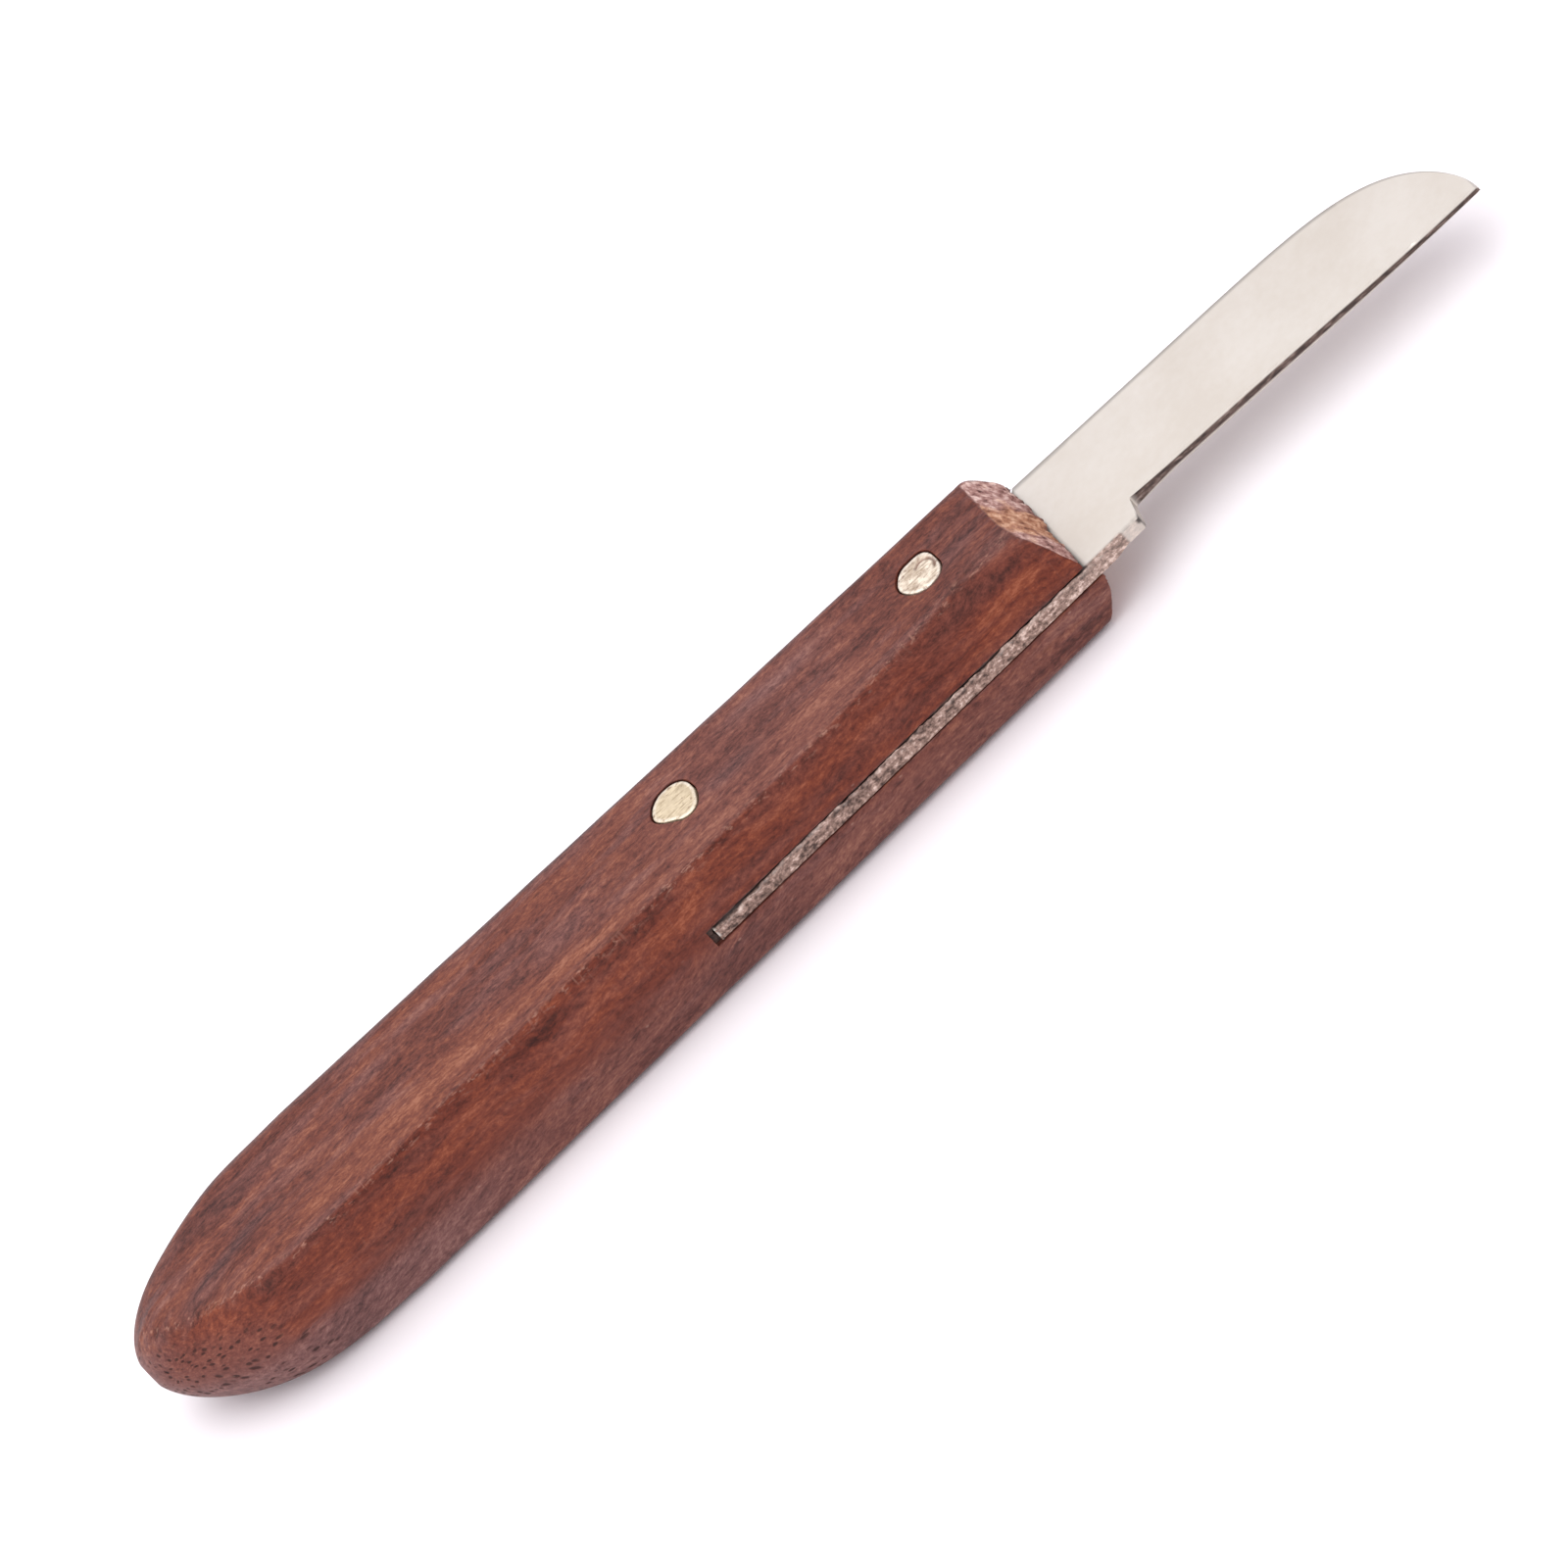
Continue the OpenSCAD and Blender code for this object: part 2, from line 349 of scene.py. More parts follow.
def outward(points):
    """Unit normals of a grid of points, from the cross product of its two directions, turned
    to point away from the wood's core."""
    along, across = np.gradient(points, axis=0), np.gradient(points, axis=1)
    normal = np.cross(along, across)
    normal = normal / np.maximum(np.linalg.norm(normal, axis=-1, keepdims=True), 1e-9)
    core = np.stack([np.clip(points[..., 0], BUTT_X + 14, LIP_X - 8), 0 * points[..., 0] + 0.8,
                     0 * points[..., 0] + MID_Z], -1)
    away = np.sum(normal * (points - core), -1, keepdims=True)
    return normal * np.where(away < 0, -1.0, 1.0)


def ridge_line(x):
    """Where the top meets the edge side: beside the crown, then round the butt's ovoid."""
    along = x - BUTT_X
    rise = butt_rise(along)
    inner = core_y(along) - np.sqrt(above(butt_ovoid(along) ** 2 - rise ** 2))
    return np.maximum(EDGE_Y + set_in(x), inner), MID_Z + rise


def tones(points, raw=0.0):
    """How warm, dark, ashy or worn the wood is: a table of soft-edged streaks on the top and
    on the edge side, over broad zones that follow the way each surface faces, and painted shade on
    the surfaces that face the spine side."""
    x, y, z = points[..., 0], points[..., 1], points[..., 2]
    facing = outward(points)
    sway = 0.7 * lattice(x / 6, y / 3, z / 3, 21)
    top = ease(0.6, 0.85, facing[..., 2])
    side = ease(-0.35, -0.65, facing[..., 1])
    warm = 0.15 * side * ease(8.0, 11.0, z)
    dark = 0.25 * side * ease(13.0, 14.5, z) * ease(16, 4, x)
    low = z + 2.2 * lattice(x / 14, z / 5, 0 * x, 23)
    ash = side * ease(11.5, 4.0, low) * (0.35 + 0.6 * ease(-42, -62, x))
    ash = ash * (1 - 0.4 * ease(15, 28, x)) + 0.25 * top * ease(-22, -10, x) * ease(22, 8, x)
    dark = (dark + 0.3 * top * ease(6, 20, x)
            + 0.25 * side * bump_at(x, -5, 13) * ease(9.0, 10.5, z))
    for face, height, faced in (("top", y, top), ("side", z, side)):
        for at_x, at, half_x, half, tilt, is_warm, is_dark, is_ash in STREAKS[face]:
            across = height + sway - at - tilt * (x - at_x)
            spot = bump_at(across, 0, half) * bump_at(np.abs(x - at_x) ** 1.5, 0, half_x ** 1.5)
            spot = spot * faced
            warm, dark, ash = warm + is_warm * spot, dark + is_dark * spot, ash + is_ash * spot
    ridge_y, ridge_z = ridge_line(x)
    ridge = bump_at(y, ridge_y, 0.55) * bump_at(z, ridge_z, 0.9)
    end_grain = ease(0.3, 0.52, facing @ np.array([-0.8, -0.35, -0.48])) * ease(-68, -77, x)
    ash = ash + 0.6 * end_grain
    # back is painted shade: it marks the surfaces that face the spine side, which the wood
    # material darkens.
    return {"warm": share_of(warm), "dark": share_of(dark), "ash": share_of(ash),
            "ruddy": side * ease(5.5, 9.0, z), "ridge": ridge, "raw": raw, "butt": end_grain,
            "tan": bump_at(y, -2.2, 3.0), "back": ease(0.22, 0.66, facing[..., 1]),
            "swept": side * ease(10.5, 6.5, z) * ease(14, 2, x)}


def lip_end(front_x):
    """Where the sloped front of a cheek reaches the kerf."""
    return front_x - FRONT_SETBACK * (KERF_HALF / MID_Z) ** FRONT_POWER


def sloped_front(points, front_x, upward):
    """Cuts the cheek's end back to a dome: height is held under a curve of the distance to
    the front, then end grain is roughened and its outline made ragged."""
    x = points[..., 0]
    height = (points[..., 2] - MID_Z) * upward
    left = np.clip((front_x - x) / FRONT_SETBACK, 0, 4)
    cap = np.where(left < 1, MID_Z * np.minimum(left, 1) ** (1 / FRONT_POWER), 3 * MID_Z)
    least = KERF_HALF + 0.2 * np.clip(lip_end(front_x) - x, 0, 0.5)
    cut = np.maximum(smooth_min(height, cap, 0.3), np.minimum(height, least))
    raw = ease(0.05, 0.35, height - cut)
    side = np.clip((points[..., 1] + 0.8) / 3, -1, 1)
    y = points[..., 1] - 0.04 * side * above(height - cut)
    splinter = above(grit(x / 1.9, y / 1.7, cut / 1.4, 31) + 0.2)
    pits = above(grit(x / 0.7, y / 0.6, cut / 0.6, 37))
    back = raw * (0.34 * splinter + 0.08 * pits)
    ragged = ease(front_x - 2.2, front_x - 0.3, x)
    flat = 0 * y
    teeth = grit(y / 1.9, flat + 3.3, flat + 0.3, 41) + 0.8 * grit(y / 0.7, flat, flat + 0.3, 47)
    tongue = 0.4 * bump_at(y, 1.5, 4.0) * (upward > 0)
    back = back + ragged * (0.45 * np.clip(teeth, -0.5, 1) - tongue)
    chips = ease(front_x - FRONT_SETBACK - 1.2, front_x - FRONT_SETBACK, x) * (1 - raw)
    cut = cut - chips * 0.35 * above(grit(x / 0.9, y / 0.8, cut / 0.8, 43) - 0.1)
    out = points.copy()
    out[..., 0] = x - back
    out[..., 1] = y
    out[..., 2] = MID_Z + upward * cut
    return out, raw


# Radius of each pin's head, in millimetres, at angles in degrees.
HEADS = {
    "rear_pin": ((9, 2.3), (30, 2.5), (51, 2.68), (90, 2.76), (112, 2.84), (134, 2.88),
                 (155, 2.96), (173, 3.02), (190, 2.72), (210, 2.36), (234, 2.24), (255, 2.6),
                 (282, 2.84), (298, 2.76), (318, 2.45), (333, 2.28)),
    "front_pin": ((10, 2.34), (35, 2.72), (45, 2.88), (57, 2.92), (75, 2.7), (90, 2.6),
                  (115, 2.74), (139, 2.68), (160, 2.7), (174, 2.68), (190, 2.54), (207, 2.4),
                  (224, 2.32), (241, 2.32), (255, 2.28), (270, 2.34), (286, 2.38), (302, 2.48),
                  (315, 2.5), (324, 2.47), (339, 2.42), (355, 2.34)),
}


def head_outline(name, angle):
    """Radius of a pin's head at each angle: the hand-hammered outline between its known
    points, slightly rounded by averaging over a few degrees."""
    turns, radii = np.array(HEADS[name]).T
    shifts = np.degrees(angle)[..., None] + np.array([-8.0, -4.0, 0.0, 4.0, 8.0])
    return np.interp(shifts, turns, radii, period=360).mean(-1)


def pin_seat(grid, hole, name, upward, shell):
    """Fills a square hole in a grid with rings that pass from its border to the round seat of
    a pin, then down the wall of the bore to a floor."""
    row0, row1, col0, col1 = hole
    border = np.concatenate([
        grid[row0, col0:col1], grid[row0:row1, col1],
        grid[row1, col1:col0:-1], grid[row1:row0:-1, col0]])
    centre = pin_centres[name][:2]
    angle = np.arctan2(border[:, 1] - centre[1], border[:, 0] - centre[0])
    away = np.stack([np.cos(angle), np.sin(angle)], -1)
    gap = 0.07 + 0.06 * (1 + lattice(2.2 * away[:, 0], 2.2 * away[:, 1], 0.5, 51))
    gap = gap + 0.12 * np.abs(away[:, 1] - 0.4 * away[:, 0])
    seat = head_outline(name, angle) + gap
    level = border[:, 2].mean()
    rings = []
    for share in (0.0, 0.3, 0.55, 0.75, 0.9, 1.0):
        flat = border[:, :2] * (1 - share) + (centre + away * (seat + 0.1)[:, None]) * share
        rings.append(np.column_stack([flat, border[:, 2] * (1 - share) + level * share]))
    for inset, depth in ((0.04, 0.03), (0.0, 0.12), (0.0, 0.5), (0.0, 1.1)):
        flat = centre + away * (seat + inset)[:, None]
        rings.append(np.column_stack([flat, np.full(len(angle), level - upward * depth)]))
    rings.append(np.tile([centre[0], centre[1], level - upward * 1.1], (len(angle), 1)))
    shell.add(np.array(rings), wrap=True, **tones(np.array(rings)))


def hole_round(grid, name, upward):
    """Rows and columns of a grid that enclose a pin's seat."""
    x, y = pin_centres[name][:2]
    rows = np.where(np.abs(grid[:, 0, 0] - x) < 3.9)[0]
    middle = grid[rows[len(rows) // 2]]
    flat = np.abs(middle[:, 2] - (TOP_Z if upward > 0 else 0.0)) < 3.0
    cols = np.where(flat & (np.abs(middle[:, 1] - y) < 3.9))[0]
    return rows[0], rows[-1], cols[0], cols[-1]


def make_handle():
    """The wood: one closed skin behind the kerf, two cheeks beside it, the kerf's walls and
    end, the domed front of each cheek, and a seat for each pin on both faces."""
    shell = Shell()
    butt = 0.08 + (KERF_X - BUTT_X - 0.08) * np.linspace(0, 1, 118) ** 1.7
    stations = (BUTT_X + butt)[:, None]
    rear = {part: skin(stations, part) for part in ("top", "edge", "bottom", "spine")}
    for part in rear.values():
        shell.add(part, **tones(part))
        ring, centre = part[0], np.array([BUTT_X + 0.02, core_y(0.0), MID_Z])
        nose = np.array([centre + (ring - centre) * np.array([1 - (1 - s) ** 2, s, s])
                         for s in (1.0, 0.8, 0.55, 0.3, 0.12, 0.0)])
        shell.add(nose, **tones(nose))

    cheeks = {}
    for part, upward, short in (("top", 1, UPPER_LIP_SHORT), ("bottom", -1, 0.0)):
        front_x = LIP_X - short
        end_x = lip_end(front_x)
        slope_x = front_x - FRONT_SETBACK - 1.4
        stations = np.concatenate([np.linspace(KERF_X, slope_x, 112)[:-1],
                                   slope_x + (end_x - slope_x) * np.linspace(0, 1, 34)])
        grid, raw = sloped_front(skin(stations[:, None], part), front_x, upward)
        grid[0] = rear[part][-1]
        lip = MID_Z + upward * KERF_HALF
        grid[-1, :, 2] = lip
        grid[:, 0, 2] = grid[:, -1, 2] = lip
        rear[part][-1, 0, 2] = rear[part][-1, -1, 2] = lip
        holes = [hole_round(grid, name, upward) for name in pin_centres]
        shell.add(grid, holes=holes, **tones(grid, raw=raw))
        for hole, name in zip(holes, pin_centres):
            pin_seat(grid, hole, name, upward, shell)
        across = np.linspace(0, 1, TOP_CELLS + 1)
        wall = grid.copy()
        wall[..., 1] = grid[:, :1, 1] + (grid[:, -1:, 1] - grid[:, :1, 1]) * across
        wall[..., 2] = lip
        behind_lip = 0.02 * np.arange(len(grid))[::-1, None]
        wall[:, 1:-1, 0] = np.minimum(grid[..., 0].min(1, keepdims=True),
                                      grid[-1, :, 0].min() - behind_lip)
        wall[0, :, 0] = KERF_X
        wall[-1] = grid[-1]
        shell.add(wall, **tones(wall))
        cheeks[part] = wall
    mix = np.linspace(0, 1, LIP_CELLS + 1)[:, None, None]
    end = cheeks["top"][0] * (1 - mix) + cheeks["bottom"][0] * mix
    end[:, 0], end[:, -1] = rear["spine"][-1], rear["edge"][-1]
    shell.add(end, **tones(end))
    return shell.finish("handle_wood", 38)


# ------------ blade and tang

def edge_line(x):
    """Cutting-edge side of the steel: tang, slanted heel step, then the slightly bowed edge."""
    heel_y = TANG_Y + HEEL_STEP
    run = share_of((x - HEEL_X) / (TIP_X - HEEL_X))
    cutting = heel_y - EDGE_DROP * run - EDGE_BOW * np.sin(math.pi * run ** 2.2)
    step = share_of((x - (HEEL_X - HEEL_RUN)) / HEEL_RUN)
    return TANG_Y + (cutting - TANG_Y) * step


def spine_line(x):
    """Back of the steel: nearly straight along the tang, a slow fall, then the curved end."""
    wood_front = LIP_X - UPPER_LIP_SHORT
    chord = TANG_Y + SPINE_RISE - SPINE_DROP * (x - HEEL_X) / (TIP_X - HEEL_X)
    share = share_of((x - (TIP_X - TIP_CURVE)) / TIP_CURVE)
    blade = chord + BLADE_WIDTH * share_of(1 - share ** TIP_SHAPE[0]) ** TIP_SHAPE[1]
    tang = TANG_Y + TANG_WIDTH + 0.5 * (wood_front - x) / (wood_front - TANG_X)
    return np.where(x < wood_front, tang, blade)


def make_blade():
    """Cross-sections across the steel, carried from the tang's end to the tip: flat faces,
    two unequal bevels that fade in behind the heel, and a thin land between them."""
    step_x, edge_x = HEEL_X - HEEL_RUN - 0.3, HEEL_X + 0.3
    tail = np.linspace(TANG_X, step_x, 190)
    heel = np.linspace(step_x, edge_x, 16)[1:]
    rest = edge_x + (TIP_X - edge_x) * (1 - (1 - np.linspace(0, 1, 170)[1:]) ** 1.8)
    x = np.concatenate([tail, heel, rest])[:, None]
    edge, spine = edge_line(x), np.maximum(spine_line(x), edge_line(x) + 0.02)
    width = spine - edge
    fade = share_of((x - HEEL_X) / BEVEL_FADE) ** 0.6 * ease(0.0, 1.2, width)
    nick = 0.2 * bump_at(x, TIP_X - 8.9, 0.22)
    thick = BLADE_HALF * (1 - 0.28 * ease(LIP_X + 25, TIP_X, x))
    thick = thick * (0.55 + 0.45 * ease(0, 2.5, width))
    top_w, top_h = TOP_BEVEL * fade + nick, 0.26 * fade
    low_w, low_h = LOW_BEVEL * fade, thick - 0.12
    on_tang = ease(HEEL_X - 0.7, HEEL_X - 1.1, x)
    hammered = on_tang * (1 - 0.08 * ease(LIP_X - 7, LIP_X, x)
                          - 0.64 * ease(LIP_X + 3.6, LIP_X + 4.0, x))
    edge = edge - 0.2 * on_tang * (1 - 0.6 * ease(LIP_X + 1.5, LIP_X + 4.5, x))
    forward = ease(KERF_X + 5, KERF_X + 9, x)
    wobble = grit(x / 0.9, 0 * x, 0 * x + 0.4, 61)
    notch = 0.35 * bump_at(x, 20.6, 0.7) + 0.2 * bump_at(x, 37.4, 0.3)
    burr_up = hammered * (-0.3 + 0.48 * forward + 0.3 * wobble - notch)
    burr_low = hammered * (0.3 + 0.06 * grit(x / 0.9, 0 * x, 0 * x + 2.4, 63)
                           - 0.35 * ease(LIP_X + 1.5, LIP_X + 4.0, x))
    rows = []

    def line(y, z):
        rows.append((y + 0 * x, z + 0 * x))

    def flat_face(start, stop, z):
        for share in np.linspace(0, 1, FACE_CELLS) ** 0.85:
            line(start + (stop - start) * share, z)

    round_off = np.minimum(0.14, width * 0.2)
    line(spine, 0 * x)
    line(spine, thick - round_off)
    line(spine - 0.3 * round_off, thick - 0.3 * round_off)
    flat_face(spine - round_off, edge + top_w + 0.42 * hammered, thick)
    lift, sink = thick + burr_up, thick + burr_low
    line(edge + top_w + 0.26 * hammered, thick + 0.5 * burr_up)
    line(edge + top_w + 0.08 * hammered, lift - top_h * 0.1)
    line(edge + top_w * 0.4, lift - 0.08 * hammered - top_h * 0.6)
    land_top = lift - 0.12 * hammered - top_h
    land_low = -(sink - 0.12 * hammered) + low_h * fade
    for share in (0.0, 0.25, 0.5, 0.75, 1.0):
        dent = hammered * 0.1 * (grit(x / 0.9, 0 * x + share * 2.3, 0 * x, 67) - 0.35)
        line(edge - dent, land_top + (land_low - land_top) * share)
    line(edge + low_w * 0.5, -(sink - 0.08 * hammered) + low_h * fade * 0.5)
    line(edge + low_w + 0.08 * hammered, -sink)
    line(edge + low_w + 0.26 * hammered, -(thick + 0.5 * burr_low))
    flat_face(edge + low_w + 0.42 * hammered, spine - round_off, -thick)
    line(spine - 0.3 * round_off, -thick + 0.3 * round_off)
    line(spine, -thick + round_off)
    y = np.concatenate([row[0] for row in rows], 1)
    z = np.concatenate([row[1] for row in rows], 1)
    y = np.minimum(y, spine)
    warp = 0.012 * lattice(x / 17, y / 6, 0 * y, 71)
    points = np.stack([np.broadcast_to(x, y.shape), y, MID_Z + z + warp], -1)
    on_edge = ease(0.42, 0.3, np.abs(y - edge - 0.15 * hammered) - 0.5 * low_w)
    lip = LIP_X - np.where(z > 0, UPPER_LIP_SHORT, 0.0)
    # Painted shade: in_wood darkens the steel where it goes into the wood, back the spine's back
    # chamfer, corner and step_face the foot of the heel step, and border a ragged line along the
    # foot of the raised burr.
    in_wood = ease(lip + 0.12, lip - 0.25, x) * ease(edge + 0.06, edge + 0.16, y)
    land = (ease(0.0, 0.5, x - HEEL_X) * ease(0.03, 0.0, np.abs(y - edge))
            * ease(0.0, 0.6, width))
    step_face = bump_at(x, HEEL_X - HEEL_RUN, 0.14) * on_edge
    back = 0.6 * ease(0.24, 0.12, spine - y) * ease(0, 1.0, width)
    border = (bump_at(y, edge + 0.28, 0.2) * ease(0.2, 0.5, z) * ease(lip - 0.5, lip, x)
              * share_of(0.35 + 1.6 * grit(x / 0.8, 0 * x, 0 * x + 1.7, 73))
              * ease(HEEL_X - 0.8, HEEL_X - 1.2, x))
    corner = (bump_at(x, HEEL_X - HEEL_RUN - 0.25, 0.2) * ease(0.1, 0.4, z)
              * ease(edge + 0.1, edge, y))
    glint = hammered * bump_at(z, land_top - 0.1, 0.13) * ease(edge + 0.12, edge + 0.02, y)
    shell = Shell()
    shell.add(points, wrap=True, land=land, glint=glint,
              hammered=hammered * ease(TANG_Y + 0.5, TANG_Y + 0.2, y),
              grime=share_of(in_wood + 0.8 * step_face + back + corner + 0.8 * border))
    for row in (0, -1):
        shell.cap(points[row], hammered=0.0)
    return shell.finish("blade_steel", 24)


# ------------ pins and bedding

def make_pin(name):
    """A rod turned about its axis: a dished, scuffed head on top, a plain shank through the
    tang and the same head below. The outline passes from the head's to the round shank."""
    centre = pin_centres[name]
    angle = np.linspace(0, 2 * math.pi, 128, endpoint=False)[None, :]
    head = head_outline(name, angle)
    profile = [(s, 0.0, 1.0) for s in np.linspace(0, 0.86, 24)]
    profile += [(0.92, -0.012, 1.0), (0.965, -0.04, 1.0), (0.99, -0.09, 1.0), (1.0, -0.18, 1.0),
                (1.0, -0.7, 0.6), (1.0, -1.5, 0.0)]
    rows, scuffs, rims = [], [], []
    proud = 0.03 if name == "rear_pin" else 0.0
    for upward in (1, -1):
        run = profile if upward > 0 else profile[::-1]
        for size, drop, headed in run:
            radius = size * (head * headed + pin_radius * (1 - headed))
            x, y = radius * np.cos(angle), radius * np.sin(angle)
            dents = 0.035 * grit(x / 1.1, y / 0.8, 0 * x + upward, 81 + len(name))
            scuff = 0 * x
            if name == "front_pin":
                crescent = bump_at(np.hypot(x - 0.9, y - 0.3), 1.15, 0.16)
                crescent = crescent * ease(-0.2, 0.5, x + y - 0.9)
                ragged = share_of(grit(x / 0.5, y / 0.5, 0 * x, 91)) * ease(-1.6, -2.3, y)
                dents = dents - 0.22 * crescent - 0.45 * ragged
                scuff = share_of(1.2 * crescent + 1.5 * ragged)
            dents = dents * (size < 0.995)
            scuffs.append(scuff[0])
            rims.append((ease(0.8, 0.9, size) * ease(1.0, 0.97, size) + 0 * x)[0])
            level = proud + drop + np.minimum(dents, 0.02)
            top = TOP_Z + level if upward > 0 else 0.03 - level * 0.5
            rows.append(np.stack(np.broadcast_arrays(x + centre[0], y + centre[1], top), -1)[0])
    shell = Shell()
    shell.add(np.array(rows), wrap=True, scuff=np.array(scuffs), rim=np.array(rims))
    return shell.finish(name + "_rod", 40)


def make_bedding():
    """Two thin ribs of filler beside the tang, with a wavering outer face, and a plug behind
    the tang's end that lies deep in the kerf."""
    shell = Shell()
    front_x = LIP_X - UPPER_LIP_SHORT - 1.0
    x = np.linspace(KERF_X + 0.02, front_x, 300)[:, None]
    for upward in (1, -1):
        outer = (0.34 + 0.16 * grit(x / 1.4, 0 * x, 0 * x + upward, 101)
                 + 0.25 * ease(front_x - 3, front_x, x))
        behind = 1 - ease(TANG_X - 0.25, TANG_X + 0.05, x)
        outer = outer + 0.15 * behind + 0.1 * behind * grit(x / 0.3, 0 * x, 0 * x, 103)
        inner_z = BLADE_HALF * (1 - behind) + 0.01
        face_y, back_y, wall_z = EDGE_Y + outer, bed_high[1], KERF_HALF - 0.004
        corners = ((face_y + 0.1, inner_z), (face_y, inner_z + 0.12),
                   (face_y + 0.02, KERF_HALF - 0.1), (face_y + 0.08, wall_z),
                   (back_y - 0.02, wall_z), (back_y, inner_z + 0.1), (back_y - 0.02, inner_z))
        points = np.concatenate([
            np.stack([x, y + 0 * x, MID_Z + upward * (z + 0 * x)], -1) for y, z in corners], 1)
        shell.add(points, wrap=True)
        for row in (0, -1):
            shell.cap(points[row])
    return shell.finish("tang_bedding_resin", 35)


# ------------ node helpers

def add(tree, kind, inputs, **settings):
    """A node with its properties set and, by input name or number, its values or links."""
    node = tree.nodes.new(kind)
    for key, value in settings.items():
        setattr(node, key, value)
    for key, value in inputs.items():
        if isinstance(value, bpy.types.NodeSocket):
            tree.links.new(value, node.inputs[key])
        else:
            node.inputs[key].default_value = value
    return node


def math_node(tree, operation, a, b=0.0, clamp=False):
    """One sum on two values."""
    return add(tree, "ShaderNodeMath", {0: a, 1: b}, operation=operation,
               use_clamp=clamp).outputs[0]


def bound(tree):
    """The helpers for one tree: multiply, add, blend two colours, lay noise."""
    return (partial(math_node, tree, "MULTIPLY"), partial(math_node, tree, "ADD"),
            partial(blend_colour, tree), partial(noise, tree))


def fit(tree, value, low, high, to_low=0.0, to_high=1.0):
    """Maps low..high to to_low..to_high, held at the ends."""
    return add(tree, "ShaderNodeMapRange", {
        "Value": value, "From Min": low, "From Max": high,
        "To Min": to_low, "To Max": to_high}).outputs["Result"]


def blend_colour(tree, factor, a, b, mode="MIX"):
    """Colour a passing to colour b, or to their product, as the factor grows."""
    return add(tree, "ShaderNodeMix", {0: factor, 6: a, 7: b}, data_type="RGBA",
               blend_type=mode, clamp_factor=True).outputs[2]


def stretched(tree, vector, scale, turn=None):
    """Object coordinates turned by the given angles, then stretched; scale is per millimetre."""
    if turn:
        vector = add(tree, "ShaderNodeMapping", {"Vector": vector, "Rotation": turn}).outputs[0]
    size = [s / MM for s in scale]
    return add(tree, "ShaderNodeMapping", {"Vector": vector, "Scale": size}).outputs[0]


def noise(tree, vector, scale, detail=3.0, rough=0.55, turn=None, distort=0.0):
    """Cloudy noise with scale cells per millimetre along each axis."""
    return add(tree, "ShaderNodeTexNoise", {
        "Vector": stretched(tree, vector, scale, turn), "Scale": 1.0, "Detail": detail,
        "Roughness": rough, "Distortion": distort}).outputs["Fac"]


def new_group(name, inputs, outputs):
    """An empty shader node group with named number inputs and outputs."""
    group = bpy.data.node_groups.new(name, "ShaderNodeTree")
    for label, kind, value in inputs:
        socket = group.interface.new_socket(label, in_out="INPUT", socket_type=kind)
        if value is not None:
            socket.default_value = value
    for label, kind in outputs:
        group.interface.new_socket(label, in_out="OUTPUT", socket_type=kind)
    return group, group.nodes.new("NodeGroupInput"), group.nodes.new("NodeGroupOutput")


def scratch_group():
    """Fine sanding scratches: thin stretched noise, thresholded, running along X."""
    group, given, made = new_group(
        "sanding_scratches",
        [("Vector", "NodeSocketVector", None), ("Density", "NodeSocketFloat", 0.5)],
        [("Scratch", "NodeSocketFloat")])
    vector = given.outputs["Vector"]
    fine = noise(group, vector, (0.35, 9.0, 9.0), 2.0, 0.6)
    slant = noise(group, vector, (0.3, 7.0, 7.0), 2.0, 0.6, turn=(0, 0, 0.22))
    level = math_node(group, "SUBTRACT", 0.78,
                      math_node(group, "MULTIPLY", given.outputs["Density"], 0.22))
    deep = math_node(group, "MAXIMUM",
                     fit(group, math_node(group, "SUBTRACT", fine, level), 0.0, 0.07),
                     fit(group, math_node(group, "SUBTRACT", slant, level), 0.0, 0.06))
    group.links.new(deep, made.inputs["Scratch"])
    return group


def mottle_group():
    """Soft cloudy variation from two noise scales, centred on one half."""
    group, given, made = new_group(
        "cloudy_mottle",
        [("Vector", "NodeSocketVector", None), ("Coarse", "NodeSocketFloat", 0.12),
         ("Fine", "NodeSocketFloat", 0.9)],
        [("Mottle", "NodeSocketFloat")])
    size = add(group, "ShaderNodeVectorMath", {0: given.outputs["Vector"], "Scale": 1 / MM},
               operation="SCALE").outputs[0]
    layers = []
    for label, detail in (("Coarse", 2.0), ("Fine", 4.0)):
        layers.append(add(group, "ShaderNodeTexNoise", {
            "Vector": size, "Scale": given.outputs[label], "Detail": detail,
            "Roughness": 0.5}).outputs["Fac"])
    both = math_node(group, "ADD", math_node(group, "MULTIPLY", layers[0], 0.65),
                     math_node(group, "MULTIPLY", layers[1], 0.35))
    group.links.new(both, made.inputs["Mottle"])
    return group


SCRATCHES = scratch_group()
MOTTLE = mottle_group()


def place(tree, group, vector, **values):
    """Puts a shared effect into a material with its own values."""
    node = tree.nodes.new("ShaderNodeGroup")
    node.node_tree = group
    tree.links.new(vector, node.inputs["Vector"])
    for key, value in values.items():
        node.inputs[key].default_value = value
    return node


def new_material(name):
    """A material with an empty shader, and the object coordinates that its patterns follow."""
    material = bpy.data.materials.new(name)
    material.use_nodes = True
    tree = material.node_tree
    tree.nodes.clear()
    shader = tree.nodes.new("ShaderNodeBsdfPrincipled")
    out = tree.nodes.new("ShaderNodeOutputMaterial")
    tree.links.new(shader.outputs[0], out.inputs["Surface"])
    vector = tree.nodes.new("ShaderNodeTexCoord").outputs["Object"]
    return material, tree, shader, vector


def attributes(tree, *names):
    """Values stored on the piece's points."""
    return [add(tree, "ShaderNodeAttribute", {}, attribute_name=name).outputs["Fac"]
            for name in names]


def feed(tree, shader, colour, roughness):
    """Links a pattern of colour and one of roughness to the shader."""
    tree.links.new(colour, shader.inputs["Base Color"])
    tree.links.new(roughness, shader.inputs["Roughness"])


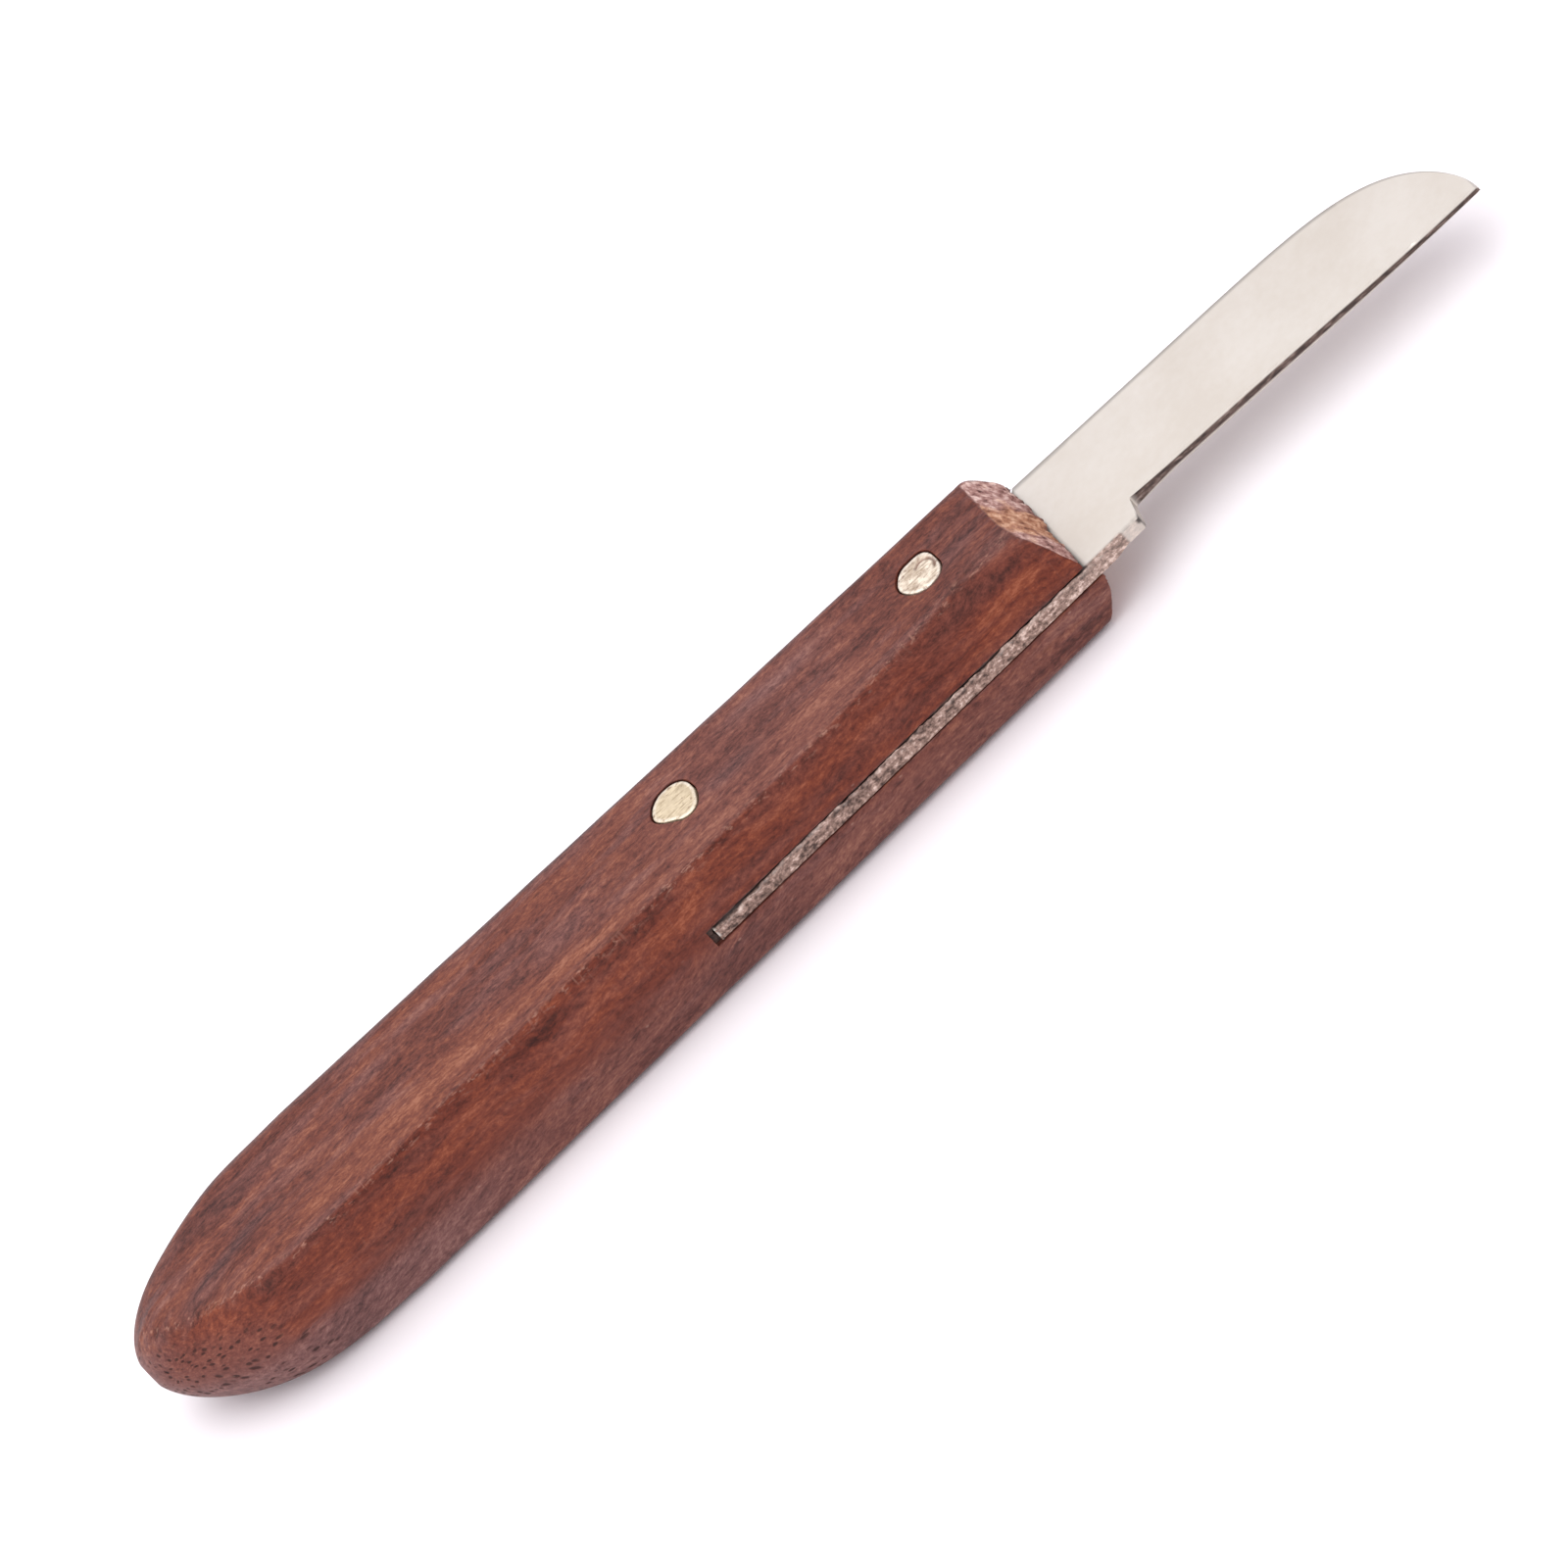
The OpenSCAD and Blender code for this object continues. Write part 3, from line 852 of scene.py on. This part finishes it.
def bump(tree, shader, height, strength, distance):
    """Fine relief in the surface's normal."""
    node = add(tree, "ShaderNodeBump", {
        "Height": height, "Strength": strength, "Distance": distance})
    tree.links.new(node.outputs[0], shader.inputs["Normal"])


# ------------ materials

def ramp(tree, value, *stops):
    """A colour ramp with (position, red, green, blue) stops."""
    node = add(tree, "ShaderNodeValToRGB", {0: value})
    elements = node.color_ramp.elements
    while len(elements) < len(stops):
        elements.new(0.5)
    for element, (position, *colour) in zip(elements, stops):
        element.position = position
        element.color = (*colour, 1)
    return node.outputs[0]


# What oil does to the bare wood's colour.
OILED = (0.94, 0.93, 0.94, 1)


def rosewood():
    """Reddish-brown oiled wood: streaks along X, dark pores, warm and ashy runs, rough pale
    end grain on the sloped front, light cross scratches and nicks on the ridge."""
    material, tree, shader, vector = new_material("rosewood")
    mul, plus, blend, cloudy = bound(tree)
    warm, dark, ash, ruddy, raw, ridge, butt, swept, back, tan = attributes(
        tree, "warm", "dark", "ash", "ruddy", "raw", "ridge", "butt", "swept", "back", "tan")

    sway = cloudy(vector, (0.05, 0.16, 0.16), 2.0)
    bent = add(tree, "ShaderNodeVectorMath", {
        0: add(tree, "ShaderNodeCombineXYZ", {0: 0.0, 1: sway, 2: sway}).outputs[0],
        1: (0.0, 3.5 * MM, 3.5 * MM), 2: vector}, operation="MULTIPLY_ADD").outputs[0]

    def grain(scale, detail, rough):
        """Streaky noise along X that tips upward where the grain sweeps to the belly."""
        level = cloudy(bent, scale, detail, rough)
        tipped = cloudy(bent, scale, detail, rough, turn=(0, math.radians(14), 0))
        return add(tree, "ShaderNodeMix", {0: swept, 2: level, 3: tipped}).outputs[0]

    broad = grain((0.035, 0.28, 0.28), 3.0, 0.5)
    middle = grain((0.16, 0.75, 0.75), 4.0, 0.6)
    fine = grain((0.95, 2.4, 2.4), 5.0, 0.8)
    calm = fit(tree, butt, 0.0, 1.0, 1.0, 0.35)
    tone = mul(plus(mul(plus(broad, -0.5), 0.6), mul(plus(middle, -0.5), 0.65)), calm)
    tone = plus(plus(tone, 0.5), mul(plus(fine, -0.5), 1.65))
    tone = plus(tone, mul(warm, 0.27))
    tone = plus(tone, mul(dark, -0.22))
    wood = ramp(tree, tone, (0.08, 0.036, 0.012, 0.01), (0.32, 0.095, 0.028, 0.02),
                (0.52, 0.156, 0.046, 0.031), (0.72, 0.226, 0.073, 0.041),
                (0.95, 0.34, 0.138, 0.082))
    ashen = ramp(tree, tone, (0.08, 0.055, 0.026, 0.025), (0.34, 0.122, 0.055, 0.05),
                 (0.54, 0.186, 0.086, 0.078), (0.8, 0.28, 0.15, 0.128))
    hue = fit(tree, cloudy(bent, (0.07, 0.5, 0.5), 2.0), 0.46, 0.64, 0.0, 0.45)
    hue = mul(hue, math_node(tree, "SUBTRACT", 1.0, warm, clamp=True))
    base = blend(math_node(tree, "MAXIMUM", mul(ash, 0.9), hue), wood, ashen)
    base = blend(mul(ruddy, 0.9), base, (0.92, 0.66, 0.54, 1), "MULTIPLY")
    # Painted shade: surfaces that face the spine side are darkened.
    base = blend(mul(back, 0.9), base, (0.3, 0.24, 0.24, 1), "MULTIPLY")

    def dots(scale, inner, outer, lowest):
        """Small lens-shaped spots, drawn out along X, in a share of the cells."""
        cells = add(tree, "ShaderNodeTexVoronoi", {
            "Vector": stretched(tree, bent, scale), "Scale": 1.0, "Randomness": 1.0})
        return mul(fit(tree, cells.outputs["Distance"], outer, inner),
                   fit(tree, cells.outputs["Color"], lowest, lowest + 0.06))

    spread = fit(tree, cloudy(vector, (0.07, 0.25, 0.25), 2.0), 0.45, 0.66, 0.05, 0.7)
    pore = mul(dots((0.24, 1.15, 1.15), 0.13, 0.27, 0.5), spread)
    pore = plus(pore, mul(dots((0.45, 1.35, 1.35), 0.2, 0.34, 0.25), mul(butt, 1.2)))
    base = blend(mul(pore, 0.7), base, (0.035, 0.015, 0.013, 1))

    speck = add(tree, "ShaderNodeTexVoronoi", {
        "Vector": stretched(tree, vector, (0.55, 0.9, 0.9)), "Scale": 1.0})
    speck_mask = mul(fit(tree, speck.outputs["Distance"], 0.16, 0.06),
                     fit(tree, speck.outputs["Color"], 0.8, 0.9))
    base = blend(mul(speck_mask, 0.4), base, (0.42, 0.25, 0.19, 1))

    crossing = cloudy(vector, (3.0, 0.3, 0.3), 2.0, 0.6, turn=(0, 0, 0.1), distort=0.3)
    patches = fit(tree, cloudy(vector, (0.05, 0.2, 0.2), 1.0), 0.46, 0.62)
    cross_mask = mul(mul(fit(tree, crossing, 0.58, 0.7), patches), plus(mul(ridge, 0.9), 0.14))
    base = blend(mul(cross_mask, 0.5), base, (0.4, 0.2, 0.14, 1))
    worn = mul(ridge, fit(tree, cloudy(vector, (0.8, 2.2, 2.2), 3.0, 0.7), 0.55, 0.68))
    base = blend(mul(worn, 0.65), base, (0.46, 0.24, 0.17, 1))
    nicks = mul(ridge, fit(tree, cloudy(vector, (1.2, 2.4, 2.4), 2.0), 0.36, 0.3))
    base = blend(mul(nicks, 0.6), base, (0.04, 0.014, 0.011, 1))

    torn = cloudy(vector, (0.9, 1.0, 1.0), 4.0, 0.65)
    pale = ramp(tree, torn, (0.34, 0.095, 0.038, 0.032), (0.43, 0.3, 0.15, 0.128),
                (0.53, 0.5, 0.29, 0.25), (0.64, 0.82, 0.61, 0.54))
    sunny = fit(tree, plus(cloudy(vector, (0.45, 0.5, 0.5), 2.0),
                           mul(tan, 0.5)), 0.62, 0.85, 0.0, 0.9)
    pale = blend(sunny, pale, ramp(
        tree, torn, (0.34, 0.19, 0.07, 0.04), (0.5, 0.46, 0.21, 0.115),
        (0.66, 0.74, 0.45, 0.29)))
    crumbs = cloudy(vector, (2.4, 2.4, 2.4), 3.0, 0.7)
    hollows = mul(fit(tree, crumbs, 0.38, 0.3), 0.7)
    pale = blend(hollows, pale, (0.06, 0.028, 0.022, 1))
    base = blend(raw, base, pale)
    base = blend(fit(tree, raw, 1.0, 0.0), base, OILED, "MULTIPLY")

    gloss = plus(fit(tree, middle, 0.3, 0.7, 0.5, 0.38), mul(raw, 0.35))
    feed(tree, shader, base, plus(gloss, mul(pore, 0.25)))
    shader.inputs["Specular IOR Level"].default_value = 0.16
    height = plus(mul(fine, 0.8), mul(middle, 0.35))
    height = plus(height, mul(pore, -0.8))
    height = plus(height, mul(cross_mask, 0.3))
    height = plus(height, mul(mul(raw, crumbs), 2.5))
    bump(tree, shader, height, 0.6, 0.12 * MM)
    return material


def blade_finish():
    """Bright satin steel: faint cloudy mottle, lengthwise grinding, a dark burnt land, painted
    shade where it meets the wood, along the spine and at the heel, and a grey-brown hammered edge
    along the tang."""
    material, tree, shader, vector = new_material("blade_steel")
    mul, plus, blend, cloudy = bound(tree)
    cloud = place(tree, MOTTLE, vector, Coarse=0.1, Fine=1.1).outputs["Mottle"]
    lines = place(tree, SCRATCHES, vector, Density=0.35).outputs["Scratch"]
    hammered, land, grime, glint = attributes(tree, "hammered", "land", "grime", "glint")
    base = blend(fit(tree, cloud, 0.36, 0.64), (0.64, 0.592, 0.522, 1),
                        (0.682, 0.644, 0.584, 1))
    base = blend(mul(lines, 0.1), base, (0.55, 0.52, 0.5, 1))
    burnt = ramp(tree, cloudy(vector, (0.8, 2.0, 2.6), 3.0, 0.6),
                 (0.36, 0.026, 0.013, 0.009), (0.56, 0.1, 0.06, 0.046),
                 (0.72, 0.26, 0.19, 0.16))
    base = blend(land, base, burnt)
    blotch = cloudy(vector, (0.3, 0.5, 0.9), 2.0, 0.5)
    scale = plus(cloudy(vector, (1.3, 1.6, 1.7), 5.0, 0.7), mul(plus(blotch, -0.5), 0.35))
    along = add(tree, "ShaderNodeSeparateXYZ", {0: vector}).outputs[0]
    scale = plus(scale, fit(tree, along, 0.0, 34 * MM, -0.02, 0.03))
    forged = ramp(tree, scale, (0.36, 0.05, 0.025, 0.018), (0.45, 0.18, 0.108, 0.082),
                  (0.55, 0.35, 0.228, 0.18), (0.66, 0.72, 0.56, 0.48))
    base = blend(hammered, base, forged)
    glint = mul(glint, fit(tree, cloudy(vector, (0.8, 0.5, 0.5), 3.0), 0.42, 0.58))
    base = blend(mul(glint, 0.8), base, (0.78, 0.66, 0.58, 1))
    # Painted shade: darkens the steel where it goes into the wood, on the spine's back chamfer, at
    # the foot of the heel step and along the foot of the raised burr.
    base = blend(mul(grime, 0.92), base, (0.02, 0.012, 0.01, 1))
    dull = math_node(tree, "MAXIMUM", math_node(tree, "MAXIMUM", hammered, land), grime)
    tree.links.new(plus(0.8, mul(dull, -0.6)), shader.inputs["Metallic"])
    rough = plus(fit(tree, cloud, 0.3, 0.7, 0.42, 0.48), mul(lines, 0.06))
    feed(tree, shader, base, plus(rough, mul(dull, 0.12)))
    height = plus(mul(lines, -0.12), mul(cloud, 0.1))
    height = plus(height, mul(mul(hammered, scale), 3.0))
    bump(tree, shader, height, 0.35, 0.06 * MM)
    return material


def pin_finish(name, colour, dull):
    """Pale sanded rod: scratches along the handle, a burnished rim, scuffs and small pits."""
    material, tree, shader, vector = new_material(name)
    mul, plus, blend, cloudy = bound(tree)
    lines = cloudy(vector, (0.55, 4.2, 4.2), 3.0, 0.6, turn=(0, 0, 0.06), distort=0.2)
    cloud = place(tree, MOTTLE, vector, Coarse=0.7, Fine=2.6).outputs["Mottle"]
    rim, scuff = attributes(tree, "rim", "scuff")
    base = blend(fit(tree, cloud, 0.38, 0.62), dull, colour)
    scored = (dull[0] * 0.6, dull[1] * 0.54, dull[2] * 0.48, 1)
    base = blend(fit(tree, lines, 0.5, 0.38, 0.0, 0.65), base, scored)
    pits = cloudy(vector, (1.6, 2.2, 2.2), 3.0, 0.6)
    edge_shine = mul(rim, fit(tree, pits, 0.35, 0.6, 0.1, 0.6))
    base = blend(edge_shine, base, (0.92, 0.86, 0.76, 1))
    base = blend(mul(fit(tree, pits, 0.41, 0.3), 0.7), base, (0.2, 0.11, 0.08, 1))
    base = blend(mul(scuff, 0.8), base, (0.22, 0.12, 0.09, 1))
    shader.inputs["Metallic"].default_value = 0.55
    feed(tree, shader, base, plus(fit(tree, cloud, 0.3, 0.7, 0.38, 0.52), mul(pits, 0.1)))
    bump(tree, shader, plus(mul(lines, 0.6), mul(pits, 0.8)), 0.5, 0.06 * MM)
    return material


def bedding_finish():
    """Near-black brittle filler with brown dust in its hollows."""
    material, tree, shader, vector = new_material("bedding_resin")
    lumps = noise(tree, vector, (0.9, 2.5, 2.5), 4.0, 0.6)
    base = blend_colour(tree, fit(tree, lumps, 0.35, 0.7), (0.03, 0.016, 0.013, 1),
                        (0.13, 0.075, 0.058, 1))
    feed(tree, shader, base, fit(tree, lumps, 0.3, 0.7, 0.6, 0.9))
    bump(tree, shader, lumps, 0.6, 0.12 * MM)
    return material


def floor_finish():
    """Plain pale matt paper with a faint cloud in it."""
    material, tree, shader, vector = new_material("studio_floor")
    fleck = noise(tree, vector, (0.01, 0.01, 0.01), 2.0)
    tree.links.new(blend_colour(tree, fleck, (0.94, 0.912, 0.928, 1), (0.955, 0.93, 0.944, 1)),
                   shader.inputs["Base Color"])
    shader.inputs["Roughness"].default_value = 0.85
    shader.inputs["Specular IOR Level"].default_value = 0.1
    return material


# ------------ assembly

def dress(piece, material, node):
    """Gives a piece its finish and its body, and hides the imported node that it stands for."""
    piece.data.materials.append(material)
    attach(piece, "root")
    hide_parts(node)


dress(make_handle(), rosewood(), "handle")
dress(make_blade(), blade_finish(), "blade")
# Bright and dull colour of each pin's metal.
PIN_COLOURS = {"rear_pin": ((0.7, 0.595, 0.42, 1), (0.54, 0.445, 0.3, 1)),
               "front_pin": ((0.84, 0.745, 0.61, 1), (0.44, 0.34, 0.245, 1))}
for pin, colours in PIN_COLOURS.items():
    dress(make_pin(pin), pin_finish(pin + "_metal", *colours), pin)
dress(make_bedding(), bedding_finish(), "tang_bedding")


# ------------ studio

LAMP_COLOUR = (1.0, 0.99, 0.97)
SENSOR = 36.0


def make_floor():
    """A wide flat square just below the wood."""
    shell = Shell()
    side = np.linspace(-1500.0, 1500.0, 2)
    grid = np.stack(np.broadcast_arrays(side[:, None], side[None, :], -0.02), -1)
    shell.add(grid)
    floor = shell.finish("studio_floor", 30)
    if floor.data.polygons[0].normal.z < 0:
        floor.data.flip_normals()
    floor.data.materials.append(floor_finish())


def make_softbox(name, place_at, aim, size, power):
    """A rectangular lamp that faces the point it is aimed at."""
    lamp = bpy.data.lights.new(name, "AREA")
    lamp.shape = "RECTANGLE"
    lamp.size, lamp.size_y = size
    lamp.energy = power
    lamp.color = LAMP_COLOUR
    holder = put_in_scene(name, lamp)
    holder.location = place_at
    holder.rotation_mode = "QUATERNION"
    holder.rotation_quaternion = (Vector(aim) - Vector(place_at)).to_track_quat("-Z", "Y")


def make_camera():
    """Looks down at 40 degrees from the cutting-edge side, rolled so that the knife rises to
    the right; the frame is 160 mm across at the knife."""
    lens, field = 500.0, 160.0 * MM
    raised, roll = math.radians(40), math.radians(44)
    aim = Vector((-2.19 * MM, 0, 7.78 * MM))
    back = Vector((0, -math.cos(raised), math.sin(raised)))
    level_up = Vector((0, math.sin(raised), math.cos(raised)))
    along = Vector((1, 0, 0))
    right = math.cos(roll) * along - math.sin(roll) * level_up
    up = math.sin(roll) * along + math.cos(roll) * level_up
    data = bpy.data.cameras.new("studio_camera")
    data.sensor_width, data.lens = SENSOR, lens
    data.clip_start, data.clip_end = 0.05, 20.0
    camera = put_in_scene("studio_camera", data)
    turn = Matrix((right, up, back)).transposed()
    camera.rotation_mode = "QUATERNION"
    camera.rotation_quaternion = turn.to_quaternion()
    camera.location = aim + back * (field * lens / SENSOR)
    bpy.context.scene.camera = camera


make_floor()
make_softbox("overhead_softbox", (-0.08, 0.0, 0.55), (0.0, 0.0, 0.0), (1.0, 0.9), 4.0)
make_softbox("butt_side_softbox", (-0.5, -0.28, 0.22), (-0.03, 0.0, 0.0), (0.3, 0.3), 0.55)
world = bpy.data.worlds.new("studio_air")
world.use_nodes = True
sky = world.node_tree.nodes["Background"]
sky.inputs["Color"].default_value = (0.95, 0.92, 1.0, 1)
sky.inputs["Strength"].default_value = 0.79
bpy.context.scene.world = world
bpy.context.scene.view_settings.view_transform = "Standard"
make_camera()
